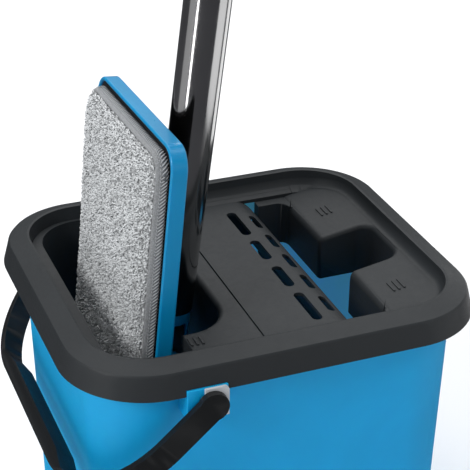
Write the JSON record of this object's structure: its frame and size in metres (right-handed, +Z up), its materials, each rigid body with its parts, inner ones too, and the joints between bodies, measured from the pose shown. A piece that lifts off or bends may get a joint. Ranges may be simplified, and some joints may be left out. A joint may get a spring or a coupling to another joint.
{
  "type": "flat mop with squeeze bucket",
  "caption": "Flat microfibre mop with a telescoping metal pole, standing in the wash slot of a two-compartment squeeze bucket with a carry handle.",
  "frame": {"origin": "middle of the bucket's underside, on the floor", "axes": "+X from the wash side to the dry side, +Y from front to back, +Z up along the height"},
  "size_m": [0.2647, 0.2372, 0.9536],
  "materials": {
    "blue_bucket_plastic": "glossy moulded polypropylene, slightly translucent",
    "dark_plastic": "fine-grained satin charcoal polypropylene",
    "lip_rubber": "soft matt rubber",
    "light_plastic": "satin light grey",
    "blue_plate_plastic": "semi-gloss moulded polypropylene",
    "hook_fabric": "black hook tape on foam",
    "microfibre": "salt-and-pepper grey chenille pile",
    "pin_steel": "bright drawn steel",
    "swivel_plastic": "satin black plastic",
    "polished_steel": "polished bright metal tube",
    "grip_rubber": "matt ribbed rubber"
  },
  "bodies": {
    "bucket": {"bucket_shell": "blue_bucket_plastic", "rim_frame": "dark_plastic", "wash_deck": "dark_plastic", "wringer_panel": "dark_plastic", "dry_blocks": "dark_plastic", "squeeze_lip": "lip_rubber", "handle_washers": "light_plastic", "handle_pins": "dark_plastic"},
    "handle": {"carry_handle": "dark_plastic"},
    "plate": {"mop_plate": "blue_plate_plastic", "hook_mat": "hook_fabric", "microfibre_pad": "microfibre", "swivel_base": "blue_plate_plastic", "base_screws": "pin_steel", "base_pin": "pin_steel"},
    "cross": {"cross_block": "swivel_plastic"},
    "pole": {"pole_socket": "blue_plate_plastic", "socket_pin": "pin_steel", "lower_tube": "polished_steel", "lock_sleeve": "swivel_plastic", "lock_collet": "light_plastic"},
    "nut": {"lock_nut": "blue_plate_plastic"},
    "extension": {"upper_tube": "polished_steel", "guide_bush": "swivel_plastic", "hand_grip": "grip_rubber", "hanging_cap": "blue_plate_plastic"}
  },
  "joints": [
    {"name": "handle_swing", "type": "hinge", "parent": "bucket", "child": "handle", "pos_m": [-0.056, 0, 0.1937], "axis": [0, 1, 0], "range_deg": [0, 106]},
    {"name": "mop_lift", "type": "slide", "parent": "bucket", "child": "plate", "axis": [0.0934, 0, 0.9956], "range_m": [0, 0.24]},
    {"name": "pole_tilt", "type": "hinge", "parent": "plate", "child": "cross", "pos_m": [-0.04312, 0.00336, 0.15095], "axis": [-0.0037, 0.9994, -0.034], "range_deg": [-2.2, 0]},
    {"name": "pole_swing", "type": "hinge", "parent": "cross", "child": "pole", "pos_m": [-0.04126, 0.00404, 0.17085], "axis": [0.9956, 0.0005, -0.0934], "range_deg": [-24, 14]},
    {"name": "pole_extend", "type": "slide", "parent": "pole", "child": "extension", "axis": [0.0932, -0.0788, 0.9925], "range_m": [0, 0.42]},
    {"name": "lock_turn", "type": "hinge", "parent": "pole", "child": "nut", "pos_m": [0.01337, -0.04216, 0.75277], "axis": [0.0932, -0.0788, 0.9925], "range_deg": [0, 90]}
  ]
}
